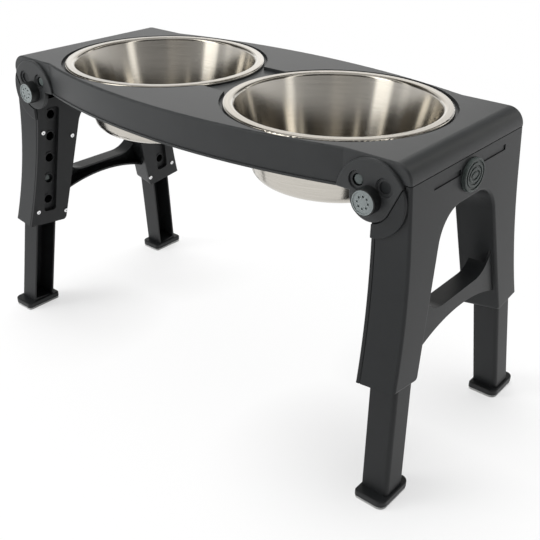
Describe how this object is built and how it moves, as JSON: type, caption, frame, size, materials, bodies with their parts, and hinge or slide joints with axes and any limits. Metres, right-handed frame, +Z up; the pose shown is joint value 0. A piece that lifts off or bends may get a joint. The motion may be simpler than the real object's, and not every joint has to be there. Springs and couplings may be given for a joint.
{
  "type": "raised pet feeder",
  "caption": "Raised pet feeder: two steel bowls in a moulded tray on folding leg frames with telescoping, button-locked legs.",
  "frame": {"origin": "middle of the footprint, on the floor under the soles", "axes": "+X along the tray, from the left end to the right end; +Y from the front to the back; +Z up"},
  "size_m": [0.5938, 0.2796, 0.3354],
  "materials": {
    "tray_plastic": "fine matte grain, charcoal",
    "bowl_steel": "spun and brushed, light satin",
    "frame_plastic": "fine matte grain, charcoal",
    "cover_plastic": "fine matte grain, charcoal",
    "leg_plastic": "fine matte grain, charcoal",
    "sole_rubber": "soft grey rubber",
    "button_plastic": "grey, semi gloss",
    "cap_plastic": "near black, satin",
    "disc_plastic": "light grey, satin",
    "release_plastic": "light grey, satin",
    "spring_steel": "drawn wire",
    "screw_steel": "bright zinc",
    "pin_steel": "turned"
  },
  "bodies": {
    "tray": {"tray": "tray_plastic", "pivot_pin_front_left": "pin_steel", "pivot_cap_front_left": "cap_plastic", "cap_disc_front_left": "disc_plastic", "pivot_pin_front_right": "pin_steel", "pivot_cap_front_right": "cap_plastic", "cap_disc_front_right": "disc_plastic", "pivot_pin_rear_left": "pin_steel", "pivot_cap_rear_left": "cap_plastic", "cap_disc_rear_left": "disc_plastic", "pivot_pin_rear_right": "pin_steel", "pivot_cap_rear_right": "cap_plastic", "cap_disc_rear_right": "disc_plastic"},
    "bowl_left": {"bowl_left": "bowl_steel"},
    "leg_frame_left": {"leg_frame_left": "frame_plastic", "release_spring_left": "spring_steel", "cover_plate_front_left": "cover_plastic", "cover_screws_front_left": "screw_steel", "fold_pin_spring_front_left": "spring_steel", "cover_plate_rear_left": "cover_plastic", "cover_screws_rear_left": "screw_steel", "fold_pin_spring_rear_left": "spring_steel"},
    "release_button_left": {"release_button_left": "release_plastic"},
    "bowl_right": {"bowl_right": "bowl_steel"},
    "leg_frame_right": {"leg_frame_right": "frame_plastic", "release_spring_right": "spring_steel", "cover_plate_front_right": "cover_plastic", "cover_screws_front_right": "screw_steel", "fold_pin_spring_front_right": "spring_steel", "cover_plate_rear_right": "cover_plastic", "cover_screws_rear_right": "screw_steel", "fold_pin_spring_rear_right": "spring_steel"},
    "release_button_right": {"release_button_right": "release_plastic"},
    "inner_leg_front_left": {"inner_leg_front_left": "leg_plastic", "sole_front_left": "sole_rubber", "height_spring_front_left": "spring_steel"},
    "height_button_front_left": {"height_button_front_left": "button_plastic"},
    "fold_pin_front_left": {"fold_pin_front_left": "button_plastic"},
    "inner_leg_front_right": {"inner_leg_front_right": "leg_plastic", "sole_front_right": "sole_rubber", "height_spring_front_right": "spring_steel"},
    "height_button_front_right": {"height_button_front_right": "button_plastic"},
    "fold_pin_front_right": {"fold_pin_front_right": "button_plastic"},
    "inner_leg_rear_left": {"inner_leg_rear_left": "leg_plastic", "sole_rear_left": "sole_rubber", "height_spring_rear_left": "spring_steel"},
    "height_button_rear_left": {"height_button_rear_left": "button_plastic"},
    "fold_pin_rear_left": {"fold_pin_rear_left": "button_plastic"},
    "inner_leg_rear_right": {"inner_leg_rear_right": "leg_plastic", "sole_rear_right": "sole_rubber", "height_spring_rear_right": "spring_steel"},
    "height_button_rear_right": {"height_button_rear_right": "button_plastic"},
    "fold_pin_rear_right": {"fold_pin_rear_right": "button_plastic"}
  },
  "joints": [
    {"name": "fold_left", "type": "hinge", "parent": "tray", "child": "leg_frame_left", "pos_m": [-0.2368, 0, 0.2975], "axis": [0, -1, 0], "range_deg": [0, 90]},
    {"name": "lift_bowl_left", "type": "slide", "parent": "tray", "child": "bowl_left", "axis": [0, 0, 1], "range_m": [0, 0.11]},
    {"name": "press_release_left", "type": "slide", "parent": "leg_frame_left", "child": "release_button_left", "axis": [0.9973, 0, -0.0732], "range_m": [0, 0.0035], "stiffness_N_per_m": 400, "springref_m": -0.004, "deforming": ["release_spring_left"]},
    {"name": "fold_right", "type": "hinge", "parent": "tray", "child": "leg_frame_right", "pos_m": [0.2368, 0, 0.2975], "axis": [0, 1, 0], "range_deg": [0, 90]},
    {"name": "lift_bowl_right", "type": "slide", "parent": "tray", "child": "bowl_right", "axis": [0, 0, 1], "range_m": [0, 0.11]},
    {"name": "press_release_right", "type": "slide", "parent": "leg_frame_right", "child": "release_button_right", "axis": [-0.9973, 0, -0.0732], "range_m": [0, 0.0035], "stiffness_N_per_m": 400, "springref_m": -0.004, "deforming": ["release_spring_right"]},
    {"name": "slide_leg_front_left", "type": "slide", "parent": "leg_frame_left", "child": "inner_leg_front_left", "axis": [0.0727, 0.1215, 0.9899], "range_m": [-0.0278, 0.0834]},
    {"name": "press_height_front_left", "type": "slide", "parent": "inner_leg_front_left", "child": "height_button_front_left", "axis": [-0.9973, 0, 0.0732], "range_m": [0, 0.004], "stiffness_N_per_m": 300, "springref_m": -0.003, "deforming": ["height_spring_front_left"]},
    {"name": "press_fold_pin_front_left", "type": "slide", "parent": "leg_frame_left", "child": "fold_pin_front_left", "axis": [0, 1, 0], "range_m": [0, 0.004], "stiffness_N_per_m": 300, "springref_m": -0.003, "deforming": ["fold_pin_spring_front_left"]},
    {"name": "slide_leg_front_right", "type": "slide", "parent": "leg_frame_right", "child": "inner_leg_front_right", "axis": [-0.0727, 0.1215, 0.9899], "range_m": [-0.0278, 0.0834]},
    {"name": "press_height_front_right", "type": "slide", "parent": "inner_leg_front_right", "child": "height_button_front_right", "axis": [0.9973, 0, 0.0732], "range_m": [0, 0.004], "stiffness_N_per_m": 300, "springref_m": -0.003, "deforming": ["height_spring_front_right"]},
    {"name": "press_fold_pin_front_right", "type": "slide", "parent": "leg_frame_right", "child": "fold_pin_front_right", "axis": [0, 1, 0], "range_m": [0, 0.004], "stiffness_N_per_m": 300, "springref_m": -0.003, "deforming": ["fold_pin_spring_front_right"]},
    {"name": "slide_leg_rear_left", "type": "slide", "parent": "leg_frame_left", "child": "inner_leg_rear_left", "axis": [0.0727, -0.1215, 0.9899], "range_m": [-0.0278, 0.0834]},
    {"name": "press_height_rear_left", "type": "slide", "parent": "inner_leg_rear_left", "child": "height_button_rear_left", "axis": [-0.9973, 0, 0.0732], "range_m": [0, 0.004], "stiffness_N_per_m": 300, "springref_m": -0.003, "deforming": ["height_spring_rear_left"]},
    {"name": "press_fold_pin_rear_left", "type": "slide", "parent": "leg_frame_left", "child": "fold_pin_rear_left", "axis": [0, -1, 0], "range_m": [0, 0.004], "stiffness_N_per_m": 300, "springref_m": -0.003, "deforming": ["fold_pin_spring_rear_left"]},
    {"name": "slide_leg_rear_right", "type": "slide", "parent": "leg_frame_right", "child": "inner_leg_rear_right", "axis": [-0.0727, -0.1215, 0.9899], "range_m": [-0.0278, 0.0834]},
    {"name": "press_height_rear_right", "type": "slide", "parent": "inner_leg_rear_right", "child": "height_button_rear_right", "axis": [0.9973, 0, 0.0732], "range_m": [0, 0.004], "stiffness_N_per_m": 300, "springref_m": -0.003, "deforming": ["height_spring_rear_right"]},
    {"name": "press_fold_pin_rear_right", "type": "slide", "parent": "leg_frame_right", "child": "fold_pin_rear_right", "axis": [0, -1, 0], "range_m": [0, 0.004], "stiffness_N_per_m": 300, "springref_m": -0.003, "deforming": ["fold_pin_spring_rear_right"]}
  ],
  "couplings": [
    {"joint": "lift_bowl_left", "follows": "fold_left", "m_per_rad": 0.07},
    {"joint": "lift_bowl_right", "follows": "fold_right", "m_per_rad": 0.07}
  ]
}
